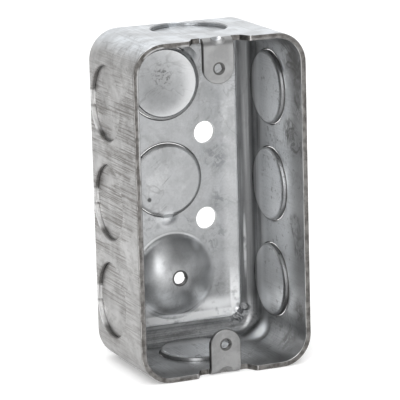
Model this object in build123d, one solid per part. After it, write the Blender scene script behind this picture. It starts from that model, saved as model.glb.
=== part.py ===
"""Handy box: a one-gang wiring box, drawn deep from one blank of zinc-coated sheet steel.

The box is shaped lying on its back with the mouth up, and is stood on its bottom end last.
Lying down, x runs across it, y along it to the top end, and z from the outer back face to the rim.
Standing, x still runs across it, z is up, and the mouth faces -y.
"""
import os
from math import acos, atan2, cos, degrees, radians, sin, sqrt

from build123d import *

# The drawn shell
box_length = 101.6
box_width = 54.9
box_depth = 38.1
sheet = 1.6
corner_radius = 9.5
back_edge_radius = 3.2
inner_edge_radius = 3.9
edge_break = 0.2

# The back panel, pressed towards the mouth and ringed by a groove along the walls
side_groove = 7.05
bottom_groove = 7.6
top_groove = 5.6
ridge_height = 1.3
ridge_land = 0.4
ridge_round = 0.6
ridge_corner = 5.0
field_rise = 0.5
field_slope_run = 3.8
field_corner = 2.4
field_sweep = 8.0
press_shift = 0.9

# Knockouts: discs cut almost free, pushed into the box and held by one tie each
knockout_radius = 11.4
knockout_gap = 0.15
knockout_push = 1.3
knockout_shoulder = 0.9
knockout_drop = 0.35
knockout_pitch = 30.05
cut_bevel = 0.35
wall_tie_width = 4.2
wall_tie_root = 0.8
back_tie_width = 3.2
back_tie_root = 0.8
back_tie_drop = 0.75
mound_base_radius = 3.0
mound_height = 0.9
mound_foot_sweep = 4.0
wall_knockout_from_back = 14.6
wall_knockouts_above_middle = 0.4
wall_knockout_end_room = 9.0
back_knockout_offset = -3.6
back_knockout_end_room = 0.9
top_back_tie_angle = 47
lower_back_tie_angle = -90

# The raised ground dome with its tapped hole
dome_base_radius = 12.6
dome_height = 5.5
dome_foot_sweep = 3.5
dome_offset = -2.0
dome_from_bottom = 23.2
ground_hole_radius = 2.4

# Two nail holes in the back
nail_hole_radius = 3.5
nail_hole_spacing = 26.9
nail_hole_offset = 9.6
nail_holes_above_middle = 2.4

# Screw ears, bent inward from the end walls
ear_width = 9.8
ear_setback = 1.3
ear_bend_radius = 2.4
ear_hole_inset = 9.13
ear_beyond_hole = 4.6
ear_hole_radius = 1.75
relief_width = 19.2
relief_slope = 2.0
relief_round = 1.3
dimple_width = 4.7
dimple_depth = 1.2
dimple_skin = 1.2

# Working allowance by which a cutter passes the faces that it cuts
past = 1.0


def rounded_block(width, length, corner, height):
    """A block with upright rounded corners, from z = 0 up."""
    return extrude(RectangleRounded(width, length, corner), height)


def shell():
    """Back and four walls, before anything is pressed or cut into them."""
    outer = rounded_block(box_width, box_length, corner_radius, box_depth)
    outer = fillet(outer.faces().sort_by(Axis.Z)[0].edges(), back_edge_radius)
    inner = rounded_block(
        box_width - 2 * sheet, box_length - 2 * sheet, corner_radius - sheet, box_depth
    )
    inner = fillet(inner.faces().sort_by(Axis.Z)[0].edges(), inner_edge_radius)
    open_box = outer - Pos(0, 0, sheet) * inner
    return chamfer(open_box.faces().sort_by(Axis.Z)[-1].edges(), edge_break)


def pressing(shrink):
    """What the press pushes up inside the groove: a ridge all round a lower, dished field."""
    width = box_width - 2 * (side_groove + shrink)
    length = box_length - top_groove - bottom_groove - 2 * shrink
    ridge = rounded_block(width, length, ridge_corner, ridge_height)
    ridge = fillet(ridge.faces().sort_by(Axis.Z)[-1].edges(), ridge_round)
    inset = 2 * (ridge_round + ridge_land + field_slope_run)
    field = RectangleRounded(width - inset, length - inset, field_corner)
    drop = ridge_height - field_rise
    dish = extrude(field, drop, taper=-degrees(atan2(field_slope_run, drop)))
    dish = fillet(dish.faces().sort_by(Axis.Z)[0].edges(), field_sweep)
    ridge -= Pos(0, 0, field_rise) * dish
    return Pos(0, (bottom_groove - top_groove) / 2, 0) * ridge


def swelling_arcs(base_radius, height, foot_sweep):
    """A swelling's cap radius, the radius of its foot, and how far its flank leans from level."""
    cap = (base_radius**2 + height**2) / (2 * height)
    rise, reach = foot_sweep - height + cap, cap + foot_sweep
    return cap, sqrt(reach**2 - rise**2), acos(rise / reach)


def swelling(base_radius, height, foot_sweep, depth, floor):
    """A round swelling's section, depth below its outside, filled to the floor below.

    The section is a cap that runs out to the panel in a sweep.
    """
    cap, foot, flank = swelling_arcs(base_radius, height, foot_sweep)
    crown = CenterArc((0, height - cap), cap - depth, 90, -degrees(flank))
    sweep = CenterArc((foot, foot_sweep), foot_sweep + depth, 270, -degrees(flank))
    filled = Polyline(sweep @ 0, (foot, floor), (0, floor), crown @ 0)
    return revolve(Plane.XZ * make_face([crown, sweep, *filled.edges()]), Axis.Z)


def dome():
    """The dome's material from its crown to its hollow, even in thickness, with the tapped hole."""
    section = dome_base_radius, dome_height, dome_foot_sweep
    hollow = swelling(*section, sheet, -sheet - past)
    return swelling(*section, 0, -sheet) - hollow - Cylinder(ground_hole_radius, 4 * dome_height)


def tie_mound():
    """Where a tie pulls the back panel up round its root, in the frame of the knockout."""
    section = mound_base_radius, mound_height, mound_foot_sweep
    return Pos(knockout_radius, 0, sheet) * swelling(*section, 0, -sheet / 2)


def knockout(tie_width, tie_root, tie_drop):
    """One knockout in its wall's frame: origin on the outer face, z into the box, tie along x.

    The cut rounds the wall's edges a little, and the disc's inner edge falls to a wide shoulder.
    Returns the hole that is cut through the wall, and the disc with its tie.
    """
    mouth = knockout_radius + cut_bevel
    hole = revolve(Plane.XZ * make_face(Polyline(
        (0, -past), (mouth + past, -past), (knockout_radius, cut_bevel),
        (knockout_radius, sheet - cut_bevel), (mouth, sheet), (mouth, sheet + 2 * past),
        (0, sheet + 2 * past), close=True,
    )), Axis.Z)

    edge = knockout_radius - knockout_gap
    near, far = knockout_push, knockout_push + sheet
    crest = edge - knockout_shoulder
    disc = revolve(Plane.XZ * make_face(Polyline(
        (0, near), (edge, near), (edge, far - knockout_drop), (crest, far), (0, far), close=True,
    )), Axis.Z)
    inside, knee, root = crest - past, crest + cut_bevel / 2, knockout_radius + tie_root
    tie = make_face(Polyline(
        (inside, near), (inside, far), (knee, far), (root, far - tie_drop), (root, sheet / 2),
        close=True,
    ))
    return hole, disc + extrude(Plane.XZ * tie, tie_width / 2, both=True)


def rows(count):
    """Places of a row of knockouts about the middle."""
    return [(number - (count - 1) / 2) * knockout_pitch for number in range(count)]


def wall_knockout_places():
    """Each wall knockout's frame: as many in a side wall as fit, one in each end wall."""
    room = box_length - 2 * (wall_knockout_end_room + knockout_radius)
    depth = wall_knockout_from_back
    places = []
    for side in (-1, 1):
        for along in rows(1 + int(room / knockout_pitch)):
            start = (side * box_width / 2, along + wall_knockouts_above_middle, depth)
            places.append(Plane(start, x_dir=(0, 0, -1), z_dir=(-side, 0, 0)))
        start = (0, side * box_length / 2, depth)
        places.append(Plane(start, x_dir=(0, 0, -1), z_dir=(0, -side, 0)))
    return places


def back_knockout_places():
    """Frames of the back's knockouts, as many as fit in a row above the dome."""
    dome_row = dome_from_bottom - box_length / 2
    highest = box_length / 2 - top_groove - back_knockout_end_room - knockout_radius
    count = int((highest - dome_row) / knockout_pitch)
    places = []
    for number in range(1, count + 1):
        angle = radians(top_back_tie_angle if number == count else lower_back_tie_angle)
        start = (back_knockout_offset, dome_row + number * knockout_pitch, field_rise)
        places.append(Plane(start, x_dir=(cos(angle), sin(angle), 0), z_dir=(0, 0, 1)))
    return places


def ear_outline(reach, foot, inner):
    """Section of the top ear across its bend: along y from the end wall, up z to its front.

    reach is how far its front runs from the wall, foot how far its root runs down from the bend.
    With inner it is the sheet alone, without it everything behind the sheet's outer side.
    """
    wall, front = box_length / 2, box_depth - ear_setback
    centre = Vector(wall - ear_bend_radius, front - ear_bend_radius)
    slant = Vector(sin(radians(45)), cos(radians(45)))
    bend = ThreePointArc(
        (wall, centre.Y), centre + slant * ear_bend_radius, (centre.X, front)
    )
    ends = [(centre.X, front), (wall - reach, front)], [(wall, centre.Y - foot), (wall, centre.Y)]
    if not inner:
        corner = (wall - reach, centre.Y - foot)
        return make_face([bend, *Polyline(*ends[0], corner, *ends[1]).edges()])
    inner_radius = ear_bend_radius - sheet
    inner_bend = ThreePointArc(
        (centre.X, front - sheet), centre + slant * inner_radius, (wall - sheet, centre.Y)
    )
    return make_face([
        bend,
        *Polyline(*ends[0], (wall - reach, front - sheet), (centre.X, front - sheet)).edges(),
        inner_bend,
        *Polyline((wall - sheet, centre.Y), (wall - sheet, centre.Y - foot), *ends[1]).edges(),
    ])


def top_ear():
    """A screw ear at the top end: bent sheet with a round tip, a tapped hole and a dimple."""
    wall, front = box_length / 2, box_depth - ear_setback
    hole_row = wall - ear_hole_inset
    tip_row = hole_row - ear_beyond_hole
    reach = wall - tip_row
    sheet_part = extrude(Plane.YZ * ear_outline(reach, past, True), ear_width / 2, both=True)
    tip_centre = tip_row + ear_width / 2
    plan = Pos(0, tip_centre) * Circle(ear_width / 2)
    plan += Pos(0, tip_centre) * Rectangle(ear_width, wall, align=(Align.CENTER, Align.MIN))
    ear = sheet_part & extrude(plan, box_depth + past)
    sides = ear.faces().filter_by(Axis.X).edges().filter_by(Axis.Z, reverse=True)
    tip = ear.edges().filter_by(GeomType.CIRCLE).filter_by(Plane.XY)
    root = ear.edges().group_by(Axis.Z)[0]
    ear = chamfer([edge for edge in [*sides, *tip] if edge not in root], edge_break)
    ear -= Pos(0, hole_row, front) * Cylinder(ear_hole_radius, 4 * sheet)

    punch = ((dimple_width / 2) ** 2 + dimple_depth**2) / (2 * dimple_depth)
    slant = ear_bend_radius * sin(radians(45)) - ear_bend_radius
    stand_off = (punch - dimple_depth) * sin(radians(45))
    punch_place = Pos(0, wall + slant + stand_off, front + slant + stand_off)
    behind = extrude(
        Plane.YZ * ear_outline(2 * ear_bend_radius, ear_bend_radius, False), ear_width / 2, both=True
    )
    bump = punch_place * Sphere(punch + dimple_skin) & behind
    return ear, bump, punch_place * Sphere(punch)


def top_relief():
    """What is cut from the top end wall's rim beside the ear, down to the ear's bend line."""
    half = relief_width / 2
    floor = box_depth - ear_setback - ear_bend_radius
    shoulder = half + 2 * relief_round
    outline = make_face(Polyline(
        (-shoulder, box_depth + past), (-shoulder, box_depth), (-half, box_depth),
        (relief_slope - half, floor), (half - relief_slope, floor),
        (half, box_depth), (shoulder, box_depth), (shoulder, box_depth + past), close=True,
    ))
    corners = outline.vertices().filter_by(lambda corner: abs(corner.X) < shoulder - relief_round)
    outline = fillet(corners, relief_round)
    cutter = extrude(Plane.XZ * outline, sheet / 2 + past, both=True)
    return Pos(0, (box_length - sheet) / 2, 0) * cutter


def handy_box():
    """The whole box, lying on its back."""
    box = shell()
    box += Pos(0, 0, sheet) * pressing(0)
    box -= pressing(press_shift)

    dome_place = Pos(dome_offset, dome_from_bottom - box_length / 2, sheet + field_rise)
    dome_foot = swelling_arcs(dome_base_radius, dome_height, dome_foot_sweep)[1]
    box -= dome_place * Cylinder(dome_foot, 2 * dome_height)
    box += dome_place * dome()

    for spread in (-1, 1):
        row = nail_holes_above_middle + spread * nail_hole_spacing / 2
        box -= Pos(nail_hole_offset, row, 0) * Cylinder(nail_hole_radius, 4 * sheet)

    mound = tie_mound()
    for place in back_knockout_places():
        box += place * mound
    for places, tie_width, tie_root, tie_drop in (
        (wall_knockout_places(), wall_tie_width, wall_tie_root, knockout_push),
        (back_knockout_places(), back_tie_width, back_tie_root, back_tie_drop),
    ):
        hole, disc = knockout(tie_width, tie_root, tie_drop)
        for place in places:
            box = box - place * hole + place * disc

    relief = top_relief()
    ear, bump, punch = top_ear()
    for end in (Rot(0, 0, 0), Rot(0, 0, 180)):
        box = box - end * relief + end * ear + end * bump - end * punch
    return box


box = Pos(0, box_depth / 2, box_length / 2) * Rot(90, 0, 0) * handy_box()
os.makedirs("parts", exist_ok=True)
export_step(box, "parts/handy_box.step")
print("solids", len(box.solids()), "valid", box.is_valid, "volume", round(box.volume, 1))
print(box.bounding_box())
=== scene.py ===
# %% [markdown]
# # A drawn steel handy box
#
# The solid comes from the CAD frame: back, walls, bent ears, ground dome and knockouts are one
# piece of sheet, so the render keeps that one piece and gives it its finish. What is too fine for
# the CAD solid is added here: the threads in the three tapped holes as meshes, and the wrinkles
# that the press leaves in the corners of the groove, the drag lines, the grime, and the painted
# highlights and painted shade in the finish.

# %% Start from the frame
from math import cos, radians, sin, tau

import bmesh
import bpy
from mathutils import Matrix, Vector


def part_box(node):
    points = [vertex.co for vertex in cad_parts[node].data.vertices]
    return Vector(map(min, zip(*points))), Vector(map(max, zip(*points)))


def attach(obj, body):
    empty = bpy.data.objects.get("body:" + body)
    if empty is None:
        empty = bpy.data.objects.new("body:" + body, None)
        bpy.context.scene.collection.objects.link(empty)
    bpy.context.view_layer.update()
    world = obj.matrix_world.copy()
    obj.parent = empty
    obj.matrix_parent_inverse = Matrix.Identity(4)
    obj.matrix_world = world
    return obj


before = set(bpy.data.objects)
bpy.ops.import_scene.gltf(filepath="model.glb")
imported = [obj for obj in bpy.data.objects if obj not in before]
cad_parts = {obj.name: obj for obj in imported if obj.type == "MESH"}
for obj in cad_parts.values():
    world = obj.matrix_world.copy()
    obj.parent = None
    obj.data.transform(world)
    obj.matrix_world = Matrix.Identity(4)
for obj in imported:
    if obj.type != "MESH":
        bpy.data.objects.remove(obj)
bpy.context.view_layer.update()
mm = 0.001
box_low, box_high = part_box("handy_box")
box_size = box_high - box_low
print("box size in mm", [round(side / mm, 2) for side in box_size])

# %% [markdown]
# ## The camera
#
# A long lens some way off keeps the walls nearly parallel, as in a catalogue photograph. The view
# is given the way a photographer would say it: how far round to the left, how high, how far off,
# a slight tilt of the camera, and where in the picture the middle of the box lies. A camera could
# also be dragged into place by eye, but numbers can be read, checked and set again.

# %% Camera
view_azimuth = radians(-22.92)
view_elevation = radians(12.54)
view_roll = radians(-1.54)
view_distance = 864.13 * mm
farthest_seen = 20.0
picture_width = 400
focal_pixels = 2859.7
middle_in_picture = (191.06, 193.01)
middle_depth = 5.95 * mm
sensor_width = 36.0


def direction(azimuth, elevation):
    """Unit vector from the box towards an azimuth, counted from the front, and an elevation."""
    level = cos(elevation)
    return Vector((sin(azimuth) * level, -cos(azimuth) * level, sin(elevation)))


def add_camera():
    """Put the camera where the middle of the box lands on its place in the picture."""
    back = direction(view_azimuth, view_elevation)
    tilt = Matrix.Rotation(view_roll, 3, back)
    right = tilt @ Vector((0, 0, 1)).cross(back).normalized()
    up = back.cross(right)
    half = picture_width / 2
    per_pixel = view_distance / focal_pixels
    middle = Vector((0, middle_depth, box_size.z / 2))
    aside = right * (middle_in_picture[0] - half) * per_pixel
    above = up * (half - middle_in_picture[1]) * per_pixel
    camera = bpy.data.objects.new("camera", bpy.data.cameras.new("camera"))
    bpy.context.scene.collection.objects.link(camera)
    turn = Matrix((right, up, back)).transposed().to_4x4()
    camera.matrix_world = Matrix.Translation(middle - aside - above + back * view_distance) @ turn
    camera.data.sensor_width = sensor_width
    camera.data.lens = focal_pixels * sensor_width / picture_width
    camera.data.clip_end = farthest_seen
    bpy.context.scene.camera = camera
    return camera


camera = add_camera()
print("camera at mm", [round(place / mm) for place in camera.matrix_world.translation])

# %% [markdown]
# ## Short words for node trees
#
# A procedural finish is arithmetic on the place of a point. Written out node by node it would hide
# what it does, so a small class adds a node, sets its sockets and links those that are given
# another node's output. On top of it come the few words that the finish is written in: a soft
# step, a blend of two colours, a noise, and a pattern drawn out along an axis.

# %% Node trees
scene = bpy.context.scene
scene.view_settings.view_transform = "Standard"


class Nodes:
    """Short words for building a node tree: add a node, set its sockets, link what is linkable."""

    def __init__(self, tree):
        self.tree = tree
        tree.nodes.clear()

    def add(self, kind, inputs=None, **settings):
        node = self.tree.nodes.new("ShaderNode" + kind)
        for name, value in settings.items():
            setattr(node, name, value)
        for name, value in (inputs or {}).items():
            socket = node.inputs[name]
            if isinstance(value, bpy.types.NodeSocket):
                self.tree.links.new(value, socket)
            else:
                socket.default_value = value
        return node

    def math(self, operation, first, second=0.0):
        return self.add("Math", {0: first, 1: second}, operation=operation).outputs[0]

    def times(self, first, *others):
        for other in others:
            first = self.math("MULTIPLY", first, other)
        return first

    def plus(self, first, *others):
        for other in others:
            first = self.math("ADD", first, other)
        return first

    def less(self, first, second):
        return self.math("SUBTRACT", first, second)

    def most(self, first, *others):
        """The largest of several values: where any of several masks holds."""
        for other in others:
            first = self.math("MAXIMUM", first, other)
        return first

    def reach(self, first, second):
        """How far a point is from an axis, given how far it is off along two directions."""
        return self.math("SQRT", self.plus(self.times(first, first), self.times(second, second)))

    def step(self, value, low, high, start=0.0, end=1.0):
        """A soft step from start to end, while the value runs from low to high."""
        ends = {"Value": value, "From Min": low, "From Max": high, "To Min": start, "To Max": end}
        return self.add("MapRange", ends, interpolation_type="SMOOTHSTEP").outputs[0]

    def between(self, value, low, high, soft):
        """A mask that is 1 from low to high, with soft ends."""
        rises = self.step(value, low - soft, low + soft)
        return self.times(rises, self.step(value, high + soft, high - soft))

    def blend(self, amount, first, second):
        """A colour between two colours."""
        values = {0: amount, 6: first, 7: second}
        return self.add("Mix", values, data_type="RGBA").outputs[2]

    def noise(self, place, scale, detail=2.0, roughness=0.5, distortion=0.0):
        values = {"Vector": place, "Scale": scale, "Detail": detail,
                  "Roughness": roughness, "Distortion": distortion}
        return self.add("TexNoise", values).outputs[0]

    def stretched(self, place, factors):
        """The place with each axis multiplied, which draws a pattern out along the small ones."""
        stretch = {"Vector": place, "Scale": factors}
        return self.add("Mapping", stretch, vector_type="POINT").outputs[0]


print("node words", [name for name in vars(Nodes) if not name.startswith("_")])

# %% Greys
def grey(level, warmth=0.0):
    """A grey a little warmer or cooler than neutral."""
    return (level * (1 + warmth), level, level * (1 - warmth), 1)


middle_grey = grey(0.5)
print("a middle grey", middle_grey)

# %% [markdown]
# ## Light
#
# Bare metal shows its surroundings more than its own colour. So the studio is white where the
# camera looks straight at it, softly lit for the floor, and in the metal's reflections it is dim
# in front of the box and bright behind it, as a real table set with a dark room on the
# photographer's side. All of that is the world's strength, where 1 is white, worked out from the
# kind of ray that asks and from its direction.

# %% Studio
white = (1, 1, 1, 1)
front_near_table, front_overhead = 0.46, 0.26
left_side = 0.72
soft_below = 0.75
world = bpy.data.worlds.new("studio")
scene.world = world
world.use_nodes = True


def build_studio():
    """A white studio whose dim side shows only in reflections."""
    n = Nodes(world.node_tree)
    path = n.add("LightPath").outputs
    toward = n.add("SeparateXYZ", {"Vector": n.add("TexCoord").outputs["Generated"]}).outputs
    in_front = n.step(toward["Z"], 0.05, 0.60, front_near_table, front_overhead)
    behind = n.step(toward["Y"], -0.35, 0.35, in_front, 1.0)
    open_side = n.step(toward["X"], -0.9, 0.1, left_side, 1.0)
    from_table = n.step(toward["Z"], -0.2, 0.9, soft_below, 1.0)
    soft, in_metal, plain = (
        n.add("Background", {"Color": white, "Strength": strength}).outputs[0]
        for strength in (from_table, n.times(behind, open_side), 1.0)
    )
    lit = n.add("MixShader", {0: path["Is Glossy Ray"], 1: soft, 2: in_metal}).outputs[0]
    seen = n.most(path["Is Camera Ray"], path["Is Transmission Ray"])
    mix = n.add("MixShader", {0: seen, 1: lit, 2: plain})
    n.add("OutputWorld", {"Surface": mix.outputs[0]})


build_studio()
print("world", world.name, "with", len(world.node_tree.nodes), "nodes")

# %% [markdown]
# ## Lamps
#
# The larger a lamp is for its distance, the softer its shadow. One tall soft strip beside the
# camera draws the upright highlight on the dome, and a large soft lamp overhead gives the shadow on
# the floor. Two area lamps are enough, because the world fills in the rest.

# %% Lamps
def area_light(name, azimuth, elevation, distance, wide, tall, power):
    """A soft box that looks at the middle of the box, from angles in degrees and sizes in metres."""
    light = bpy.data.lights.new(name, "AREA")
    light.shape = "RECTANGLE"
    light.size = wide
    light.size_y = tall
    light.energy = power
    lamp = bpy.data.objects.new(name, light)
    scene.collection.objects.link(lamp)
    toward = direction(radians(azimuth), radians(elevation))
    lamp.location = Vector((0, 0, box_size.z / 2)) + toward * distance
    lamp.rotation_euler = (-toward).to_track_quat("-Z", "Y").to_euler()
    return lamp


lamps = [
    area_light("strip", azimuth=-27, elevation=24, distance=1.1, wide=0.32, tall=1.1, power=6.0),
    area_light("overhead", azimuth=-20, elevation=75, distance=1.0, wide=0.8, tall=0.8, power=3.0),
]
print("lamps", [lamp.name for lamp in lamps])

# %% [markdown]
# ## Floor
#
# A wide pale floor takes the shadow. It shines by itself a little, only for rays that look at it,
# so that it stays white without more light on the box. A grey card seems to lie on it, fainter on
# the right than on the left, but only in reflections: it gives the drawn side wall its middle grey.
# A curved backdrop isn't needed, because the world behind the floor is white as well.

# %% Floor
floor_half_width = 3.0
floor_glow = 0.2
card_right, card_left = 0.10, 0.24
card_right_x, card_left_x = 0.0, -0.16
mesh = bpy.data.meshes.new("floor")
bm = bmesh.new()
bmesh.ops.create_grid(bm, x_segments=1, y_segments=1, size=floor_half_width)
bm.to_mesh(mesh)
bm.free()
floor = bpy.data.objects.new("floor", mesh)
scene.collection.objects.link(floor)


def floor_paint():
    """White paint, with the card that only reflections see."""
    paint = bpy.data.materials.new("floor_paint")
    paint.use_nodes = True
    n = Nodes(paint.node_tree)
    path = n.add("LightPath").outputs
    seen = n.most(path["Is Camera Ray"], path["Is Transmission Ray"], path["Is Glossy Ray"])
    at = n.add("SeparateXYZ", {"Vector": n.add("TexCoord").outputs["Object"]}).outputs
    darkness = n.step(at["X"], card_right_x, card_left_x, card_right, card_left)
    card = n.times(path["Is Glossy Ray"], darkness)
    glow = n.times(seen, n.less(1.0, card), floor_glow)
    values = {"Base Color": n.blend(card, grey(0.9), grey(0.0)), "Roughness": 1.0,
              "Emission Color": white, "Emission Strength": glow}
    n.add("OutputMaterial", {"Surface": n.add("BsdfPrincipled", values).outputs[0]})
    return paint


mesh.materials.append(floor_paint())
print("floor", [round(side) for side in floor.dimensions], "m")

# %% [markdown]
# ## Where a point lies on the box
#
# The finish changes from place to place: the die has rubbed the outside of the walls, grime and
# painted shade darken the groove, highlights are painted where the sheet turns to the light, and
# the cut edges are bare steel. All of that follows from where a point lies. So the sizes of the
# pressed features come first, as in the CAD source, from the middle of the box, from its bottom
# end, or from the rim.

# %% Sizes of the pressed features
wall_x = box_size.x / 2
middle_z = box_size.z / 2
rim_y = box_low.y
sheet = 1.6 * mm
corner = 9.5 * mm
knockout_radius = 11.4 * mm
knockout_pitch = 30.05 * mm
side_knockout_z = middle_z + 0.4 * mm
side_knockouts = [side_knockout_z + number * knockout_pitch for number in (-1, 0, 1)]
wall_knockout_y = box_high.y - 14.6 * mm
end_knockout = (0.0, wall_knockout_y)
panel_side = 19.2 * mm
panel_bottom = 8.25 * mm
panel_half_height = middle_z - panel_bottom
dome_place = (-2.0 * mm, 23.2 * mm)
dome_foot = 13.0 * mm
ground_bore = 2.4 * mm
back_knockouts = [(-3.6 * mm, dome_place[1] + number * knockout_pitch) for number in (1, 2)]
back_ties = (radians(-90), radians(47))
ear_hole_inset = 9.13 * mm
ear_bore = 1.75 * mm
ear_half_width = 4.9 * mm
ear_setback = 1.3 * mm
notch_end = 10.6 * mm
print("back knockouts at mm", [[round(value / mm, 2) for value in place] for place in back_knockouts])

# %% [markdown]
# ## Measures of a point
#
# Each layer of the finish asks the same questions: how far from the middle a point lies, how deep
# behind the rim, how far under the outer skin, rounded corners included, and how far from an axis
# or a place. The answers are node outputs, made once and shared by all layers.

# %% Places
class Places:
    """Measures of a point of the box, as node outputs."""

    def __init__(self, n):
        self.nodes = n
        self.point = n.add("TexCoord").outputs["Object"]
        at = n.add("SeparateXYZ", {"Vector": self.point}).outputs
        self.x, self.y, self.z = at["X"], at["Y"], at["Z"]
        self.aside = n.math("ABSOLUTE", self.x)
        self.away = n.math("ABSOLUTE", n.less(self.z, middle_z))
        self.depth = n.less(self.y, rim_y)
        beyond_x = n.most(n.less(self.aside, wall_x - corner), 0.0)
        beyond_z = n.most(n.less(self.away, middle_z - corner), 0.0)
        self.under = n.less(corner, n.reach(beyond_x, beyond_z))
        self.outside = n.step(self.under, 0.93 * sheet, 0.88 * sheet)
        self.inside = n.step(self.under, 0.94 * sheet, 0.99 * sheet)
        self.on_back = n.step(self.depth, 30.5 * mm, 32.0 * mm)
        self.beside_panel = n.step(self.aside, panel_side + 0.6 * mm, panel_side + 2.2 * mm)
        self.under_panel = n.step(self.z, panel_bottom + 0.75 * mm, panel_bottom - 1.25 * mm)

    def off_axis(self, first, second, centre):
        """How far the point is from an axis through the centre, seen along the third direction."""
        n = self.nodes
        return n.reach(n.less(first, centre[0]), n.less(second, centre[1]))

    def near(self, across, depth, height, radius):
        """A soft round spot about a place, given in millimetres, as a mask."""
        n = self.nodes
        place = (across * mm, rim_y + depth * mm, height * mm)
        off = n.add("VectorMath", {0: self.point, 1: place}, operation="DISTANCE").outputs["Value"]
        return n.step(off, radius * mm, 0.3 * radius * mm)


print("measures", [name for name in vars(Places) if not name.startswith("_")])

# %% Trying a layer
def nodes_in(layer, *more):
    """How many nodes a layer of the finish takes, built alone in a scratch tree."""
    trial = bpy.data.materials.new("trial")
    trial.use_nodes = True
    n = Nodes(trial.node_tree)
    layer(n, Places(n), *more)
    count = len(trial.node_tree.nodes)
    bpy.data.materials.remove(trial)
    return count


print("the measures alone take", nodes_in(lambda n, here: here), "nodes")

# %% [markdown]
# ## Zinc
#
# The sheet is zinc-coated: a bluish grey metal, neither matt nor polished, with soft clouds, darker
# smudges from handling and paler rubbed spots. It is one Principled shader with full metal, whose
# colour is built up in layers. Each layer is a short function that takes the colour so far and
# returns the next, so that any of them can be looked at alone. An image could carry the same marks,
# but it has to be unwrapped and gets coarse close up, and noises on the place of a point don't.

# %% The plain coat
def plain_coat(n, here):
    """Soft clouds, dark smudges and rubbed spots."""
    cloud = n.step(n.noise(here.point, 130, 4, 0.6), 0.35, 0.65)
    color = n.blend(cloud, grey(0.46, -0.020), grey(0.58, -0.018))
    smudge = n.step(n.noise(here.point, 62, 5, 0.65, 0.8), 0.54, 0.68)
    color = n.blend(n.times(smudge, 0.40), color, grey(0.28, -0.01))
    rubbed = n.step(n.noise(here.point, 95, 4, 0.6, 0.5), 0.60, 0.74)
    return n.blend(n.times(rubbed, 0.45), color, grey(0.78, -0.01))


def grain(n, here, color):
    """The fine grain of the zinc."""
    grains = n.step(n.noise(here.point, 1500, 2, 0.6), 0.3, 0.7)
    return n.blend(n.times(grains, 0.14), color, grey(0.30))


print("plain coat", nodes_in(plain_coat), "nodes, grain", nodes_in(grain, middle_grey))

# %% Painted sheen on the inner walls
def painted_sheen_and_flecks(n, here, color):
    """Painted sheen on the inner walls: paler higher up, most so half way up and on the bottom
    knockout; and brown flecks.
    """
    sheen_and_flecks = n.times(here.inside, n.step(here.depth, 31 * mm, 28 * mm))
    upward = n.step(here.z, 20 * mm, 50 * mm, 0.28, 0.50)
    # The paler walls and the paler bottom knockout are painted sheen.
    color = n.blend(n.times(sheen_and_flecks, upward), color, grey(0.88, -0.015))
    half_way = n.between(here.z, 34 * mm, 74 * mm, 10 * mm)
    middle = n.times(sheen_and_flecks, half_way, n.step(here.depth, 6 * mm, 14 * mm))
    color = n.blend(n.times(middle, 0.47), color, grey(1.0, -0.02))
    off_disc = here.off_axis(here.x, here.y, end_knockout)
    disc = n.step(off_disc, knockout_radius, knockout_radius - 0.4 * mm)
    bottom = n.times(sheen_and_flecks, n.step(here.z, 8 * mm, 5 * mm))
    color = n.blend(n.times(bottom, n.step(disc, 0.0, 1.0, 0.08, 0.72)), color, grey(1.0, -0.02))
    flecks = n.times(sheen_and_flecks, n.step(n.noise(here.point, 460, 3, 0.6), 0.62, 0.68))
    return n.blend(n.times(flecks, 0.45), color, grey(0.14, 0.05))


print("ironed walls", nodes_in(painted_sheen_and_flecks, middle_grey), "nodes")

# %% [markdown]
# ## Scratches and handled places
#
# A box that has lain among others has short slanting scratches in patches, thin wandering ones,
# and dull places near the rim where it was held. Short scratches are a noise drawn out along a
# turned direction. A wandering line is where a slow noise passes its middle value, as a contour
# line does on a map, which gives long thin curves that no spotty noise could.

# %% Short scratches
def scuffs(n, here, color):
    """Short slanting scratches in patches, and one busy patch on the back."""
    slant = {"Vector": here.point, "Angle": radians(38)}
    turned = n.add("VectorRotate", slant, rotation_type="Y_AXIS").outputs[0]
    hair = n.noise(n.stretched(turned, (0.12, 0.3, 1.0)), 1700, 3, 0.6, 0.6)
    patch = n.step(n.noise(here.point, 70, 4, 0.65, 0.8), 0.58, 0.68)
    across = n.between(here.x, 11 * mm, 15 * mm, 2 * mm)
    busy = n.times(across, n.between(here.z, 55 * mm, 63 * mm, 4 * mm), 0.9)
    scratches = n.times(n.step(hair, 0.50, 0.60), n.most(patch, busy))
    return n.blend(n.times(scratches, 0.45), color, grey(0.20))


print("short scratches", nodes_in(scuffs, middle_grey), "nodes")

# %% Handled places and wandering scratches
# The inner face of the right wall, in mm from the middle of the box.
right_wall = 25.8

# Each handled place by its depth behind the rim, its height and its radius, in mm.
handled_places = [
    (8.5, 69.5, 7.0), (4.5, 66.0, 6.0), (6.5, 41.0, 5.5), (3.5, 35.5, 6.0), (8.0, 94.0, 8.0),
    (2.5, 88.0, 7.0), (3.0, 78.5, 6.0), (5.0, 15.0, 5.0), (10.0, 4.5, 6.0),
]


def handled(n, here):
    """Handled places on the right wall near the rim, as a mask."""
    return n.most(*(here.near(right_wall, *place) for place in handled_places))


def scribbles(n, here, color):
    """Thin wandering scratches: the level lines of a slow noise, here and there."""
    level = n.math("ABSOLUTE", n.less(n.noise(here.point, 75, 3, 0.6, 1.2), 0.5))
    patch = n.step(n.noise(here.point, 42, 2), 0.44, 0.56)
    thin = n.times(n.step(level, 0.020, 0.006), patch, 0.30)
    bold = n.times(n.step(level, 0.040, 0.014), handled(n, here), here.inside)
    return n.blend(n.times(n.most(thin, bold), 0.7), color, grey(0.09, 0.03))


print("handled places", len(handled_places), "scribbles", nodes_in(scribbles, middle_grey), "nodes")
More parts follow.
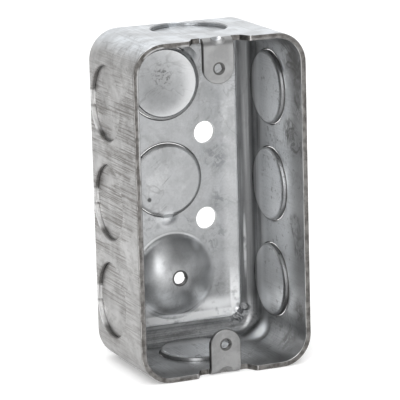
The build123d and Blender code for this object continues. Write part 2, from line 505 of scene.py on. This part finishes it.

# %% [markdown]
# ## Drag lines
#
# When the punch draws the sheet through the die, the die drags fine lines along the depth of the
# box. They are a noise drawn out fifty times along that direction, and a slower noise breaks them
# into patches, because the die carries dirt in some places and not in others. A wave texture draws
# lines too, but evenly spaced ones, which no worn die leaves. The outer faces of the side walls are
# browner and busier than the top, whose paler, bluer grey is painted light from the bright studio
# above.

# %% Drag lines
def drag_lines(n, here):
    """Fine lines along the depth, broken into patches, as a mask."""
    drawn = n.stretched(here.point, (1.0, 0.02, 1.0))
    lines = n.step(n.noise(drawn, 2000, 3, 0.7), 0.44, 0.60)
    patches = n.noise(n.stretched(here.point, (1.0, 0.3, 1.0)), 130, 4, 0.65, 0.5)
    return n.times(lines, n.step(patches, 0.38, 0.54))


def drawn_inside(n, here, color, lines):
    """Faint drag lines everywhere, a little stronger low down."""
    strength = n.step(here.z, 30 * mm, 12 * mm, 0.14, 0.28)
    return n.blend(n.times(lines, strength), color, grey(0.25, 0.02))


print("drag lines", nodes_in(drag_lines), "nodes, inside", nodes_in(drawn_inside, middle_grey, 0.5))

# %% Outer faces
def drawn_side(n, here, lines, cloud):
    """The brownish colour of the side walls' outer faces, busiest with lines half way up."""
    color = n.blend(cloud, grey(0.405, 0.010), grey(0.545, 0.006))
    speckled = n.noise(n.stretched(here.point, (1.0, 0.5, 1.0)), 260, 5, 0.75)
    color = n.blend(n.times(n.step(speckled, 0.50, 0.64), 0.42), color, grey(0.17, 0.06))
    below_top = n.step(here.z, 97 * mm, 82 * mm, 0.38, 1.0)
    strength = n.times(below_top, n.step(here.z, 12 * mm, 42 * mm, 0.50, 0.78))
    color = n.blend(n.times(lines, strength), color, grey(0.15, 0.08))
    return n.blend(n.step(here.z, 50 * mm, 0.0, 0.0, 0.34), color, grey(0.20, 0.03))


def drawn_outside(n, here, color, lines):
    """The outer faces, rubbed by the die: brownish on the sides, and on top a paler bluish grey that is
    painted light.
    """
    cloud = n.step(n.noise(here.point, 160, 4, 0.6), 0.35, 0.65)
    # On top, a paler bluish grey as painted light.
    top = n.blend(cloud, grey(0.62, -0.03), grey(0.82, -0.04))
    top = n.blend(n.times(lines, 0.30), top, grey(0.34, -0.02))
    upper = n.step(here.z, box_size.z - 6 * mm, box_size.z - 1 * mm)
    outer = n.blend(upper, drawn_side(n, here, lines, cloud), top)
    return n.blend(here.outside, color, outer)


print("outer faces", nodes_in(drawn_outside, middle_grey, 0.5), "nodes")

# %% [markdown]
# ## Groove
#
# A groove runs round the raised panel of the back. In the photograph its bottom is dark, because
# little light gets there and grime stays, and the turn from the walls into it is pale where it
# catches the light. So the bottom is painted dark, as painted shade and grime, and the turn pale,
# as a painted highlight. The press has rolled fine streaks into that turn, along the groove. A
# shader can find hollows by itself with the Ambient Occlusion node, which is slow and grainy.
# Masks on the depth and on the place beside the panel say exactly where each of the three is.

# %% Groove
def lower_corner(n, here):
    """The lower right corner of the inside, where the groove opens, as a mask."""
    return n.times(n.step(here.x, 15 * mm, 21 * mm), n.step(here.z, 15 * mm, 8 * mm), here.inside)


def groove(n, here, color):
    """A painted highlight on the turn from the walls into the groove, and a dark bottom of painted
    shade and grime, less so under the panel.
    """
    turn = n.times(here.inside, n.between(here.depth, 27.5 * mm, 33.0 * mm, 1.5 * mm))
    turn = n.times(turn, n.most(here.beside_panel, here.under_panel))
    # The pale turn is a painted highlight.
    color = n.blend(n.times(turn, 0.75), color, grey(1.0, -0.01))
    edge, far = panel_half_height - 0.15 * mm, panel_half_height + 1.65 * mm
    above = n.step(here.z, middle_z + edge, middle_z + far)
    below = n.times(n.step(here.z, middle_z - edge, middle_z - far), 0.35)
    ring = n.most(here.beside_panel, above, below)
    deep = n.times(n.step(here.depth, 33.6 * mm, 35.0 * mm), ring, here.inside)
    closed = n.less(1.0, lower_corner(n, here))
    # The dark bottom is painted shade, with grime.
    return n.blend(n.times(deep, closed, 0.86), color, grey(0.10, -0.02))


print("groove", nodes_in(groove, middle_grey), "nodes")

# %% Streaks along the groove
def rolled_streaks(n, here, color):
    """Streaks along the groove: upright beside the panel, level under it."""
    upright = n.noise(n.stretched(here.point, (1.0, 1.0, 0.02)), 1300, 2, 0.6)
    level = n.noise(n.stretched(here.point, (0.02, 1.0, 1.0)), 1300, 2, 0.6)
    low = here.under_panel
    streak = n.plus(n.times(upright, n.less(1.0, low)), n.times(level, low))
    turn = n.times(here.inside, n.step(here.depth, 29.0 * mm, 33.0 * mm))
    turn = n.times(turn, n.most(here.beside_panel, low))
    color = n.blend(n.times(turn, n.step(streak, 0.48, 0.62), 0.42), color, grey(0.10, -0.01))
    return n.blend(n.times(turn, n.step(streak, 0.46, 0.34), 0.07), color, grey(1.0, -0.01))


print("streaks", nodes_in(rolled_streaks, middle_grey), "nodes")

# %% [markdown]
# ## Dirt behind the rim
#
# The inside gets duller towards the rim, where hands and the next box have touched it. It is
# dirtiest near the upper end and at the handled places. The inner face of the upper end wall is
# in shade, and so is the lower right corner, and both are painted darker here. Such a mask could
# be painted on the mesh by hand, but a step on the depth behind the rim needs no painting.

# %% Dirt
def mouth(n, here, color):
    """A duller strip behind the rim, with dirt near its upper end and at the handled places."""
    behind_rim = n.times(here.inside, n.step(here.depth, 13.0 * mm, 3.0 * mm))
    color = n.blend(n.times(behind_rim, 0.68), color, grey(0.18, 0.01))
    upper_end = n.times(n.step(here.depth, 15 * mm, 4 * mm), n.step(here.z, 78 * mm, 92 * mm))
    blotches = n.step(n.noise(here.point, 120, 4, 0.7, 0.5), 0.36, 0.56)
    dirt = n.times(here.inside, upper_end, blotches, 0.8)
    color = n.blend(dirt, color, grey(0.11, 0.05))
    crumbs = n.step(n.noise(here.point, 260, 5, 0.7, 0.8), 0.40, 0.62)
    touched = n.times(handled(n, here), crumbs, here.inside, 0.60)
    return n.blend(touched, color, grey(0.10, 0.06))


def shaded_ends(n, here, color):
    """Shade under the upper end wall and in the lower right corner."""
    ceiling = n.times(here.inside, n.step(here.z, 94 * mm, 99 * mm))
    color = n.blend(n.times(ceiling, 0.45), color, grey(0.15))
    return n.blend(n.times(lower_corner(n, here), 0.52), color, grey(0.12, -0.01))


print("mouth", nodes_in(mouth, middle_grey), "nodes, shade", nodes_in(shaded_ends, middle_grey))

# %% [markdown]
# ## Marks on the back
#
# The eye finds single marks: the dome is pale on its right and dark above, its foot has a bright
# and a dark line, and the upper disc is bright towards its edge and dark in its hollow. In the
# real box that is light on slightly uneven sheet, so here these marks are painted highlights and
# painted shade. Modelling every dent could give them too, but painting each mark at its place is
# far simpler, at the price that it stays put when the light moves.

# %% Dome
def blotchy(n, here):
    """A soft blotchy mask that breaks up painted highlights and painted shade."""
    return n.step(n.noise(here.point, 240, 3, 0.6), 0.25, 0.50)


def dome_painted_light(n, here, color):
    """Painted light on the dome: a highlight on its right and low down, and painted shade near its top.
    """
    off_dome = here.off_axis(here.x, here.z, dome_place)
    dome = n.times(here.on_back, n.step(off_dome, dome_foot + 1.0 * mm, dome_foot - 0.5 * mm))
    low = n.step(here.z, 21 * mm, 14 * mm, 0.0, 0.08)
    right = n.step(here.x, 0.5 * mm, 7 * mm, 0.0, 0.50)
    color = n.blend(n.times(dome, n.most(low, right)), color, grey(1.0, -0.01))
    upper = n.step(here.z, 26 * mm, 32 * mm)
    return n.blend(n.times(dome, upper, 0.50), color, grey(0.16, -0.02))


def dome_rim(n, here, color):
    """A painted highlight where the dome's foot faces the light, and a line of painted shade under it.
    """
    off_dome = here.off_axis(here.x, here.z, dome_place)
    upper = n.between(off_dome, dome_foot - 0.1 * mm, dome_foot + 0.5 * mm, 0.2 * mm)
    bright = n.times(upper, n.step(here.z, 27 * mm, 33 * mm), n.step(here.x, 9 * mm, 3 * mm))
    color = n.blend(n.times(bright, here.on_back, 0.8), color, grey(1.0, -0.01))
    lower = n.between(off_dome, dome_foot - 0.5 * mm, dome_foot, 0.2 * mm)
    dark = n.times(lower, n.step(here.z, 19 * mm, 15 * mm), n.step(here.x, 8 * mm, 0.0))
    return n.blend(n.times(dark, blotchy(n, here), here.on_back, 0.7), color, grey(0.10))


print("dome tones", nodes_in(dome_painted_light, middle_grey), "nodes, rim", nodes_in(dome_rim, middle_grey))

# %% Upper disc
hollow_place = (-6.4 * mm, 83.5 * mm)

# The panel's depth behind the rim, and a spot by its place across, depth, height and radius, in mm.
panel_depth = 34.8
speck_place = (-4.2, panel_depth, 85.5, 5.0)


def upper_disc(n, here, color):
    """The dished disc: a painted highlight towards its edge, painted shade in its hollow, and a few
    specks.
    """
    off_disc = here.off_axis(here.x, here.z, back_knockouts[1])
    disc = n.times(here.on_back, n.step(off_disc, 11.0 * mm, 10.0 * mm))
    hollow = here.off_axis(here.x, here.z, hollow_place)
    towards_edge = n.step(hollow, 7.5 * mm, 12.5 * mm)
    color = n.blend(n.times(disc, towards_edge, 0.60), color, grey(1.0, -0.01))
    shaded_hollow = n.step(hollow, 9.0 * mm, 3.0 * mm)
    color = n.blend(n.times(disc, shaded_hollow, 0.28), color, grey(0.22, -0.01))
    fine = n.step(n.noise(here.point, 900, 3, 0.65, 0.4), 0.50, 0.60)
    specks = n.times(here.near(*speck_place), here.on_back, fine)
    return n.blend(n.times(specks, 0.65), color, grey(0.12, 0.02))


print("upper disc", nodes_in(upper_disc, middle_grey), "nodes")

# %% [markdown]
# ## Marks on the panel and the walls
#
# Most of the other marks follow from short lists of places in millimetres, one group of numbers a
# mark, which is easier to change than a painted picture. A mark near a place is a soft round spot,
# and a long one is an ellipse. The long and the round pale marks are painted highlights. The bright
# shoulder of the panel, a painted highlight too, and the dark screw hole are bands at a distance
# from an edge and from an axis.

# %% Lists of marks
# Each painted highlight ellipse by its place across and its height, its half width, half height and
# strength.
polished_spots = [(22.4, 30.0, 0.7, 14.0, 0.5), (11.5, 12.4, 9.5, 3.4, 1.0)]

# Each scuffed place by its place across, its height and its radius.
scuffed_places = [
    (12.8, 59.0, 7.0), (12.0, 33.0, 7.0), (-9.7, 39.5, 5.5), (2.5, 38.0, 5.0), (14.0, 45.0, 5.0),
]

# Each round painted highlight by its place across, its depth, height, radius and strength.
pale_spots = [
    (22.6, 28.5, 3.8, 5.5, 1.0), (-11.5, 32.0, 26.0, 7.5, 0.12), (5.9, 33.5, 32.9, 3.0, 0.8),
    (-3.6, panel_depth, 40.8, 3.6, 0.6), (-10.6, panel_depth, 13.4, 3.0, 0.6),
    (24.3, 27.0, 14.5, 6.0, 0.6),
]
print("polished", len(polished_spots), "scuffed", len(scuffed_places), "pale", len(pale_spots))

# %% Marks from the lists
def polished(n, here, color):
    """Long painted highlights beside the panel's edge and under the dome, as ellipses."""
    spots = []
    for across, height, wide, tall, strength in polished_spots:
        off_x = n.times(n.less(here.x, across * mm), 1 / (wide * mm))
        off_z = n.times(n.less(here.z, height * mm), 1 / (tall * mm))
        spots.append(n.times(n.step(n.reach(off_x, off_z), 1.0, 0.2), strength))
    bright = n.times(n.most(*spots), here.on_back, blotchy(n, here))
    return n.blend(bright, color, grey(0.98, -0.01))


def scuffed(n, here, color):
    """Darker scuffed patches on the panel and its discs."""
    patches = (here.near(across, panel_depth, *place) for across, *place in scuffed_places)
    blotches = n.step(n.noise(here.point, 380, 4, 0.7, 0.8), 0.46, 0.60)
    return n.blend(n.times(n.most(*patches), here.on_back, blotches, 0.50), color, grey(0.20, -0.04))


def pale(n, here, color):
    """Soft round painted highlights on the inside."""
    for *place, strength in pale_spots:
        spot = n.times(here.near(*place), here.inside, strength)
        color = n.blend(spot, color, grey(1.0, -0.02))
    return color


print("polished", nodes_in(polished, middle_grey), "nodes, scuffed", nodes_in(scuffed, middle_grey))
print("pale", nodes_in(pale, middle_grey), "nodes")

# %% Shoulder, screw hole and speck
small_speck = (-9.7 * mm, 47.8 * mm)


def shoulder(n, here, color):
    """A painted highlight on the shoulder of the panel, along the lower part of its right edge and its
    bottom.
    """
    beyond = n.most(n.less(here.x, panel_side), n.less(panel_bottom, here.z))
    edge = n.between(beyond, -2.4 * mm, 0.6 * mm, 0.35 * mm)
    edge = n.times(edge, n.between(here.depth, 33 * mm, 36.0 * mm, 0.2 * mm), here.inside)
    low = n.step(here.z, 27 * mm, 14 * mm)
    rightward = n.step(here.x, -18 * mm, 10 * mm, 0.7, 1.0)
    return n.blend(n.times(edge, low, rightward, blotchy(n, here)), color, grey(1.0, -0.01))


def screw_hole(n, here, color):
    """The dark edge and bore of the ground hole, and one dark speck on the disc above it."""
    off_hole = here.off_axis(here.x, here.z, dome_place)
    edge = n.step(off_hole, ground_bore + 0.45 * mm, ground_bore + 0.15 * mm)
    bore = n.step(off_hole, ground_bore + 0.2 * mm, ground_bore + 0.1 * mm)
    bore = n.times(bore, n.step(here.depth, 25 * mm, 26 * mm))
    hole = n.most(n.times(here.on_back, edge), bore)
    color = n.blend(n.times(hole, 0.85), color, grey(0.07, 0.03))
    speck = n.step(here.off_axis(here.x, here.z, small_speck), 0.9 * mm, 0.4 * mm)
    return n.blend(n.times(speck, here.on_back, 0.85), color, grey(0.06))


print("shoulder", nodes_in(shoulder, middle_grey), "nodes, hole", nodes_in(screw_hole, middle_grey))

# %% [markdown]
# ## Rings round the knockouts
#
# Each knockout is a disc cut almost all the way round, and lubricant stays in the cut, so a dark
# ring runs round it and stops at the tie that holds it; the ring is painted shade in the gap as
# well. On the outside the cut's edge also catches the light, and that is painted as a highlight,
# with the tie painted pale. The recess itself is in the solid, so only its colour is missing, and
# all rings come from one function on the distance from the knockout's axis.

# %% Dark rings
def cut_ring(n, here, first, second, centre, tie_angle):
    """The gap and shoulder round one knockout, except at its tie, as a mask."""
    off = here.off_axis(first, second, centre)
    ring = n.between(off, knockout_radius - 0.7 * mm, knockout_radius + 0.3 * mm, 0.2 * mm)
    tie_first = centre[0] + knockout_radius * cos(tie_angle)
    tie_second = centre[1] + knockout_radius * sin(tie_angle)
    off_tie = here.off_axis(first, second, (tie_first, tie_second))
    return n.times(ring, n.step(off_tie, 1.6 * mm, 2.4 * mm))


def cut_rings(n, here, color):
    """Dark rings at the cuts of all ten knockouts: lubricant and painted shade in the gaps."""
    in_wall = n.step(here.depth, 37 * mm, 36 * mm)
    on_side = n.times(n.step(here.aside, 23 * mm, 24 * mm), in_wall)
    on_end = n.times(n.step(here.away, 46.5 * mm, 47 * mm), in_wall)
    back = n.most(*(
        cut_ring(n, here, here.x, here.z, place, angle)
        for place, angle in zip(back_knockouts, back_ties)
    ))
    side = n.most(*(
        cut_ring(n, here, here.y, here.z, (wall_knockout_y, height), 0.0)
        for height in side_knockouts
    ))
    end = cut_ring(n, here, here.x, here.y, end_knockout, radians(90))
    rings = n.most(n.times(here.on_back, back), n.times(on_side, side), n.times(on_end, end))
    return n.blend(n.times(rings, 0.45), color, grey(0.13, 0.04))


print("rings", nodes_in(cut_rings, middle_grey), "nodes")

# %% Bright arcs outside
def painted_cut_glints(n, here, color):
    """Painted highlights: bright arcs outside the side walls, on the far side of each ring, and the tie
    above painted pale.
    """
    glints = []
    for middle in side_knockouts:
        off = here.off_axis(here.y, here.z, (wall_knockout_y, middle))
        ring = n.between(off, knockout_radius - 0.05 * mm, knockout_radius + 0.6 * mm, 0.1 * mm)
        under_tie = n.between(here.z, middle - 9.0 * mm, middle - 2.6 * mm, 0.8 * mm)
        glints.append(n.times(ring, under_tie))
        edge = n.between(off, knockout_radius - 0.8 * mm, knockout_radius + 1.0 * mm, 0.2 * mm)
        tie = n.between(here.z, middle - 2.2 * mm, middle + 2.4 * mm, 0.5 * mm)
        glints.append(n.times(edge, tie, 0.55))
    far_side = n.step(here.depth, 24 * mm, 26 * mm)
    bright = n.times(n.most(*glints), here.outside, far_side, 0.95)
    return n.blend(bright, color, grey(1.0))


print("bright arcs", nodes_in(painted_cut_glints, middle_grey), "nodes")

# %% [markdown]
# ## Cut edges
#
# The rim, the notches beside the ears and the sides of the ears were sheared or torn, so they are
# rough bare steel, brownish and darker than the zinc, with a thin bright burr where the sheet
# turns over. The burr's brightness is a painted highlight, and the zinc rolled over the rim's
# inner edge is painted paler as a highlight too. The ears themselves are smoother than the walls,
# and the upper ear is painted a little paler as painted light. A second material on those faces
# would do too, but the frame's mesh is left as it is, so masks pick the edges out by their place.

# %% Cut edges
def torn_steel(n, here):
    """The colour of torn steel, with the zinc rolled over its inner edge here and there, painted paler
    as a highlight.
    """
    torn = n.step(n.noise(here.point, 420, 3, 0.6), 0.35, 0.65)
    steel = n.blend(torn, grey(0.10, 0.06), grey(0.22, 0.04))
    inner = n.step(here.under, 0.85 * mm, 1.10 * mm)
    broken = n.step(n.noise(here.point, 160, 3), 0.34, 0.50)
    leftward = n.step(here.x, -10 * mm, 20 * mm, 0.60, 0.12)
    upward = n.step(here.z, 32 * mm, 78 * mm, 0.20, 1.0)
    on_rim = n.step(here.depth, 0.12 * mm, 0.06 * mm)
    rolled_zinc_highlight = n.times(inner, broken, leftward, upward, on_rim)
    return n.blend(rolled_zinc_highlight, steel, grey(0.70, -0.01))


def sheared(n, here, color):
    """Torn steel on the rim and in the notches, a dark lip outside the side walls, a bright burr as a
    painted highlight.
    """
    off_ends = n.step(here.away, 49.8 * mm, 48 * mm)
    lip = n.times(here.outside, n.step(here.depth, 1.3 * mm, 0.6 * mm), off_ends)
    color = n.blend(n.times(lip, 0.60), color, grey(0.16, 0.06))
    rim = n.step(here.depth, 0.12 * mm, 0.06 * mm)
    in_wall = n.between(here.under, 0.06 * mm, sheet - 0.06 * mm, 0.03 * mm)
    beside_ear = n.between(here.aside, ear_half_width + 0.05 * mm, notch_end, 0.05 * mm)
    notch = n.times(in_wall, n.step(here.depth, 4.2 * mm, 3.9 * mm), beside_ear)
    color = n.blend(n.most(rim, notch), color, torn_steel(n, here))
    behind_rim = n.between(here.depth, 0.08 * mm, 0.24 * mm, 0.03 * mm)
    burr_highlight = n.times(behind_rim, n.step(n.noise(here.point, 300, 2), 0.42, 0.55))
    return n.blend(n.times(burr_highlight, 0.55), color, grey(0.75, 0.01))


print("cut edges", nodes_in(sheared, middle_grey), "nodes")

# %% Ears
def ears(n, here, color):
    """Smooth grey ears with dark sides, the upper ear painted a little paler as painted light, and dark
    bores where the threads are.
    """
    behind = ear_setback + sheet
    across = n.step(here.aside, ear_half_width + 0.4 * mm, ear_half_width + 0.1 * mm)
    ear = n.times(n.step(here.depth, behind + 0.4 * mm, behind + 0.1 * mm), across)
    ear = n.times(ear, n.step(here.away, 35.5 * mm, 36.0 * mm))
    cloud = n.step(n.noise(here.point, 210, 4, 0.6), 0.35, 0.65)
    smooth = n.blend(cloud, grey(0.27), grey(0.36))
    # The upper ear is painted a little paler: painted light.
    smooth = n.blend(n.step(here.z, 40 * mm, 60 * mm, 0.0, 0.12), smooth, grey(0.75, -0.01))
    color = n.blend(ear, color, smooth)
    side = n.times(ear, n.step(here.aside, ear_half_width - 0.28 * mm, ear_half_width - 0.10 * mm))
    color = n.blend(n.times(side, 0.85), color, grey(0.06, 0.04))
    off_hole = here.off_axis(here.x, here.away, (0.0, middle_z - ear_hole_inset))
    bore = n.times(ear, n.step(off_hole, ear_bore + 0.30 * mm, ear_bore + 0.05 * mm))
    return n.blend(n.times(bore, 0.8), color, grey(0.07, 0.03))


print("ears", nodes_in(ears, middle_grey), "nodes")

# %% [markdown]
# ## Relief
#
# Some form is too slight for the solid: the sheet's faint waves, the drag lines as grooves, the
# upper knockout of the back dished by its punch, the wrinkles where the groove turns its lower
# corners, and a slope in the lower right corner that turns it to the light. Displacement would
# need a far finer mesh. So their heights add up, in metres, and one Bump node turns the sum into
# a tilted surface, which leaves the mesh as it is.

# %% Wrinkles in the corners
fold_height = 0.55 * mm
groove_turns_about = (15.4 * mm, 12.6 * mm)


def corner_folds(n, here):
    """The height of the wrinkles that run across the groove in its lower corners."""
    turn_x = n.less(here.aside, groove_turns_about[0])
    turn_z = n.less(groove_turns_about[1], here.z)
    angle = n.math("ARCTAN2", turn_z, turn_x)
    reach = n.reach(turn_x, turn_z)
    in_groove = n.between(reach, 4.2 * mm, 8.6 * mm, 0.8 * mm)
    in_turn = n.between(angle, 0.2, 1.37, 0.15)
    in_corner = n.times(in_groove, in_turn, n.step(here.depth, 31 * mm, 33 * mm))
    around = n.add("CombineXYZ", {0: angle, 1: n.times(reach, 90.0)}).outputs[0]
    wrinkles = n.step(n.noise(around, 3.4, 2, 0.5), 0.40, 0.62)
    return n.times(wrinkles, in_corner, fold_height)


print("wrinkles", nodes_in(corner_folds), "nodes")

# %% Relief
wave_height = 0.07 * mm
line_depth = 0.014 * mm
dish_depth = 0.55 * mm

# Where the corner is turned to the light, by its place across, depth, height and radius, in mm.
flare_depth = 28.5
flare_place = (22.6, flare_depth, 3.8, 6.0)
flare_slope = 0.24


def relief(n, here, lines):
    """The height of all the fine form over the solid's faces, as a tilted surface."""
    waves = n.times(n.noise(here.point, 110, 2), wave_height)
    grooves = n.times(lines, here.outside, -line_depth)
    reach = here.off_axis(here.x, here.z, back_knockouts[1])
    on_disc = n.times(n.step(reach, 10.6 * mm, 10.2 * mm), here.on_back)
    dish = n.times(n.step(reach, 1.0 * mm, 10.4 * mm), on_disc, dish_depth)
    slope = n.times(n.less(here.depth, flare_depth * mm), flare_slope)
    flare = n.times(here.near(*flare_place), slope)
    height = n.plus(waves, grooves, dish, corner_folds(n, here), flare)
    return n.add("Bump", {"Height": height, "Strength": 1.0, "Distance": 1.0}).outputs[0]


print("relief", nodes_in(relief, 0.5), "nodes")

# %% [markdown]
# ## The whole coat
#
# The layers go on one over the other: the coat, the drag lines, the grime and painted shade, the
# single marks with their painted highlights, the cut rings, and last the ears and the bare edges,
# which hide what lies under them. The result is one metal on one piece of sheet, so the frame's
# own mesh just gets this material.

# %% The whole coat
finish_layers = [
    scribbles, groove, rolled_streaks, mouth, shaded_ends, dome_painted_light, polished, upper_disc,
    scuffed, dome_rim, shoulder, pale, screw_hole, cut_rings, painted_cut_glints, ears, sheared,
]


def zinc_coat():
    """The layers together, as one metal."""
    zinc = bpy.data.materials.new("zinc_coat")
    zinc.use_nodes = True
    n = Nodes(zinc.node_tree)
    here = Places(n)
    lines = drag_lines(n, here)
    color = plain_coat(n, here)
    for layer in (painted_sheen_and_flecks, grain, scuffs):
        color = layer(n, here, color)
    color = drawn_inside(n, here, color, lines)
    color = drawn_outside(n, here, color, lines)
    for layer in finish_layers:
        color = layer(n, here, color)
    roughness = n.step(n.noise(here.point, 130, 4, 0.6), 0.3, 0.7, 0.33, 0.45)
    values = {"Base Color": color, "Metallic": 1.0, "Roughness": roughness,
              "Normal": relief(n, here, lines)}
    n.add("OutputMaterial", {"Surface": n.add("BsdfPrincipled", values).outputs[0]})
    return zinc


zinc = zinc_coat()
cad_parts["handy_box"].data.materials[0] = zinc
print("zinc nodes", len(zinc.node_tree.nodes))

# %% [markdown]
# ## Threads
#
# The two ears take number six machine screws and the dome a larger ground screw, all with 32
# threads to the inch. A thread is one small triangle carried round the hole and forward at the
# same time, which is what the spin operator does when it is given a step along its axis. It runs
# past both faces of the sheet, and its points are then pushed back level with them. The Screw
# modifier could wind the same triangle, but the operator gives a finished mesh at once.

# %% Sizes of the threads
pitch = 25.4 / 32 * mm
steps_in_turn = 32
ear_crest = 1.42 * mm
ground_crest = 2.0 * mm
ear_front = rim_y + ear_setback
field_rise = 0.5 * mm
dome_rise = 5.33 * mm
dome_front = box_high.y - field_rise - sheet - dome_rise
print("pitch", round(pitch / mm, 3), "mm, front of the dome at", round(dome_front / mm, 2), "mm")

# %% One thread
def thread(name, middle, bore, crest, front):
    """A helical ridge inside a bore along the depth, cut off level with both faces of the sheet."""
    back = front + sheet
    turns = sheet / pitch + 1
    steps = round(turns * steps_in_turn)
    half = 0.46 * pitch
    start = front - pitch / 2
    root = bore + 0.05 * mm
    bm = bmesh.new()
    profile = [
        bm.verts.new((middle[0] + reach, start + aside, middle[1]))
        for reach, aside in ((root, -half), (crest, 0), (root, half))
    ]
    edges = [bm.edges.new((first, second)) for first, second in zip(profile, profile[1:] + profile[:1])]
    bmesh.ops.spin(
        bm, geom=profile + edges, cent=(middle[0], 0, middle[1]), axis=(0, 1, 0),
        dvec=(0, turns * pitch / steps, 0), angle=turns * tau, steps=steps,
    )
    bmesh.ops.holes_fill(bm, edges=bm.edges)
    for vert in bm.verts:
        vert.co.y = min(max(vert.co.y, front), back)
    bmesh.ops.recalc_face_normals(bm, faces=bm.faces)
    mesh = bpy.data.meshes.new(name)
    bm.to_mesh(mesh)
    bm.free()
    piece = bpy.data.objects.new(name, mesh)
    scene.collection.objects.link(piece)
    mesh.materials.append(zinc)
    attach(piece, "root")
    return piece


print("a thread takes", steps_in_turn, "steps a turn")

# %% The three threads
threads = [
    thread("ear_thread_bottom", (0, ear_hole_inset), ear_bore, ear_crest, ear_front),
    thread("ear_thread_top", (0, box_size.z - ear_hole_inset), ear_bore, ear_crest, ear_front),
    thread("ground_thread", dome_place, ground_bore, ground_crest, dome_front),
]
print("threads", {piece.name: len(piece.data.polygons) for piece in threads})

# %% [markdown]
# ## Size of the box
#
# Finish and threads must not change the size of the box.
